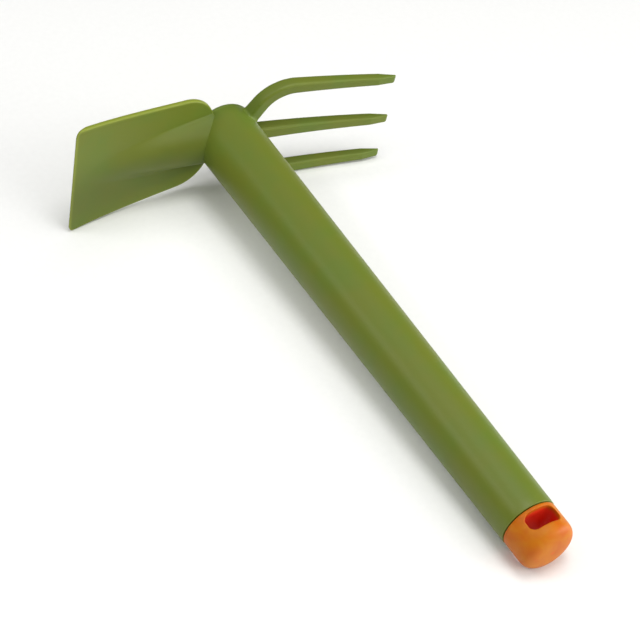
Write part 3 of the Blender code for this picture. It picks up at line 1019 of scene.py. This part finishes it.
            # The section closes inside the tube and inside the bar.
            inner = root.lerp(middle, 0.25) - outward * 0.4 * MM
            sunk = foot - Vector((0, foot.y, foot.z)).normalized() * self.fillet_sink
            rings.append([inner, sunk, *arc, top.lerp(at(rise)[0], 0.06)])
        return lofted(f"{self.name}_fillet", rings, capped=False)

    def dress(self) -> None:
        """Builds, places and coats the tine and its weld."""
        finished(self.build_bar(), self.finish, [self.name], crease=35)
        finished(self.build_fillet(), self.finish, [f"{self.name}_weld"], crease=60)


@dataclass
class EndPlug:
    """The moulded plug in the handle's end, with its hanging slot and crush ribs."""

    finish: Material
    handle: Handle
    proud: float = 18.2 * MM
    step: float = 0.2 * MM
    nose: float = 7.8 * MM
    squareness: float = 3.3
    gap: float = 0.3 * MM
    spigot_length: float = 22 * MM
    clearance: float = 0.9 * MM
    spigot_wall: float = 2.0 * MM
    ribs: int = 6
    rib_radius: float = 0.8 * MM
    rib_length: float = 15.4 * MM
    slot_length: float = 16.0 * MM
    slot_width: float = 8.7 * MM
    slot_corner: float = 3.3 * MM
    slot_from_tube: float = 6.4 * MM
    turn: float = radians(1.6)
    rib_sink: float = 0.3 * MM
    shade_start: float = 0.5 * MM
    shade_reach: float = 2.5 * MM
    voxel: float = 0.29 * MM
    softening: int = 11
    sides: int = 160
    nose_steps: int = 40
    corner_steps: int = 12

    def nose_radius(self, beyond: float) -> float:
        """The plug's radius at a distance beyond the tube's end."""
        into = max(0.0, (beyond - (self.proud - self.nose)) / self.nose)
        share = max(0.0, 1 - into**self.squareness) ** (1 / self.squareness)
        return (self.handle.end_radius - self.step) * share

    def outline(self) -> list[tuple[float, float]]:
        """The turned outline of nose and spigot, from the nose's tip to the hollow's floor."""
        end = self.handle.length
        spigot = self.handle.end_radius - self.handle.wall - self.clearance
        hollow = spigot - self.spigot_wall
        points = [(end + self.proud, 0.0)]
        for i in range(1, self.nose_steps + 1):
            into = sin(pi / 2 * (1 - i / self.nose_steps))
            beyond = self.proud - self.nose * (1 - into)
            points.append((end + beyond, self.nose_radius(beyond)))
        rim = self.handle.end_radius - self.step
        points += [(end + self.gap, rim), (end + self.gap, spigot), (end - self.spigot_length, spigot)]
        points += [(end - self.spigot_length, hollow), (end, hollow), (end, 0.0)]
        return points

    def slot_bar(self) -> Object:
        """The bar that the slot is cut with."""
        half_x = self.slot_width / 2 - self.slot_corner
        half_y = self.slot_length / 2 - self.slot_corner
        outline = []
        for quarter, (side_x, side_y) in enumerate(((1, 1), (-1, 1), (-1, -1), (1, -1))):
            for i in range(self.corner_steps + 1):
                angle = (quarter + i / self.corner_steps) * pi / 2
                x = side_x * half_x + self.slot_corner * cos(angle)
                outline.append((x, side_y * half_y + self.slot_corner * sin(angle)))
        middle = Matrix.Translation((self.handle.length + self.slot_from_tube, 0, 0))
        place = middle @ Matrix.Rotation(self.turn, 4, "X")
        reach = 2 * self.handle.end_radius
        rings = [[place @ Vector((x, y, z)) for x, y in outline] for z in (-reach, reach)]
        return lofted("slot_bar", rings)

    def build_plug(self) -> Object:
        """Turns the plug, cuts its slot and softens its edges as a moulding's are.

        Returns:
            The plug, with the slot's walls marked for the painted red shade.
        """
        plug = turned("end_plug_moulded", self.outline(), self.sides)
        bar = self.slot_bar()
        for obj in (plug, bar):
            faced_outwards(obj.data)
        slot = plug.modifiers.new("slot", "BOOLEAN")
        slot.operation, slot.object, slot.solver = "DIFFERENCE", bar, "EXACT"
        even = plug.modifiers.new("even_skin", "REMESH")
        even.mode, even.voxel_size = "VOXEL", self.voxel
        soft = plug.modifiers.new("soft_edges", "SMOOTH")
        soft.factor, soft.iterations = 0.5, self.softening
        applied(plug)
        bpy.data.objects.remove(bar)
        # The slot's walls are marked for the painted red shade.
        marked(plug, "shut_in", self.shut_in)
        return plug

    def shut_in(self, point: Vector) -> float:
        """How much painted red shade a corner gets, by how far it lies down in the slot: 0 near the plug's
        side, 1 some millimetres in.
        """
        beyond = point.x - self.handle.length
        if beyond < self.gap:
            return 0.0
        depth = self.nose_radius(beyond) - hypot(point.y, point.z)
        return max(0.0, min(1.0, (depth - self.shade_start) / self.shade_reach))

    def build_ribs(self) -> Object:
        """Sets the crush ribs round the spigot.

        Returns:
            The ribs.
        """
        middle = self.handle.end_radius - self.handle.wall - self.rib_sink - self.rib_radius
        path = ring(self.handle.length - self.spigot_length / 2, middle, self.ribs, 0.5)
        inputs = {"Rib Radius": self.rib_radius, "Rib Length": self.rib_length, "Finish": self.finish}
        return grown(guide("end_plug_crush_ribs", path), crush_rib_tree(), inputs)

    def dress(self) -> None:
        """Builds, places and dresses the plug."""
        finished(self.build_plug(), self.finish, ["end_plug"], crease=80)
        finished(self.build_ribs(), self.finish, [])


@dataclass
class SoftLight:
    """A soft box: where it hangs, its size, and how bright its face is."""

    name: str
    place: tuple[float, float, float]
    size: tuple[float, float]
    power: float
    aim: tuple[float, float, float] = (0.0, 0.0, 0.03)

    def hang(self) -> None:
        """Hangs the light and turns its face to its aim."""
        data = bpy.data.lights.new(self.name, "AREA")
        data.shape, data.energy = "RECTANGLE", self.power
        data.size, data.size_y = self.size
        light = linked(self.name, data)
        light.location = self.place
        light.rotation_euler = (Vector(self.aim) - Vector(self.place)).to_track_quat("-Z", "Y").to_euler()


@dataclass
class Studio:
    """The pale floor, the soft lights and the camera."""

    floor_size: float = 6.0
    sky: tuple[float, float, float, float] = (1.0, 1.0, 1.0, 1.0)
    sky_strength: float = 0.08
    camera_place: tuple[float, float, float] = (0.5096, -0.4276, 0.6643)
    camera_turn: tuple[float, float, float] = (45.535, -6.08, 57.953)
    lens: float = 109.12
    lights: tuple[SoftLight, ...] = (
        SoftLight("overhead_box", (0.2, 0.0, 1.3), (2.2, 2.2), 17.5),
        SoftLight("middle_box", (0.1, 0.0, 1.2), (0.45, 0.45), 4.6),
        SoftLight("side_box", (1.2, 0.4, 0.8), (0.8, 0.8), 5.0),
        SoftLight("low_box", (0.7, 1.0, 0.16), (1.0, 0.3), 12.5),
        SoftLight("strip_box", (-0.3, -0.64, 0.7), (0.5, 0.12), 2.0, aim=(-0.3, 0.0, 0.03)),
    )

    def build(self) -> None:
        """Sets the whole studio up."""
        self.lay_floor()
        self.set_camera()
        for light in self.lights:
            light.hang()
        world = bpy.data.worlds.new("studio_air")
        world.use_nodes = True
        background = world.node_tree.nodes["Background"]
        background.inputs["Color"].default_value = self.sky
        background.inputs["Strength"].default_value = self.sky_strength
        bpy.context.scene.world = world
        view = bpy.context.scene.view_settings
        view.view_transform, view.look = "Standard", "None"

    def lay_floor(self) -> None:
        """Lays the paper under the tool."""
        half = self.floor_size / 2
        corners = [Vector((x * half, y * half, 0)) for x, y in ((-1, -1), (1, -1), (1, 1), (-1, 1))]
        floor = mesh_object("paper_floor", corners, [(0, 1, 2, 3)])
        floor.data.materials.append(PaperFloor().build())

    def set_camera(self) -> None:
        """Stands the camera and makes it the scene's."""
        data = bpy.data.cameras.new("studio_camera")
        data.lens, data.sensor_width = self.lens, 36.0
        data.clip_start, data.clip_end = 0.01, 20.0
        camera = linked("studio_camera", data)
        camera.location = self.camera_place
        camera.rotation_euler = Euler([radians(angle) for angle in self.camera_turn])
        bpy.context.scene.camera = camera


def main() -> None:
    """Builds the studio and every piece of the tool."""
    logging.basicConfig(level=logging.INFO, format="%(name)s: %(message)s")
    Studio().build()
    enamel = BakedEnamel().build()
    plastic = MouldedPolypropylene().build()
    handle = Handle(enamel)
    handle.dress()
    Blade(enamel, handle).dress()
    for place in Place:
        Tine(enamel, handle, place).dress()
    EndPlug(plastic, handle).dress()


if __name__ == "__main__":
    main()
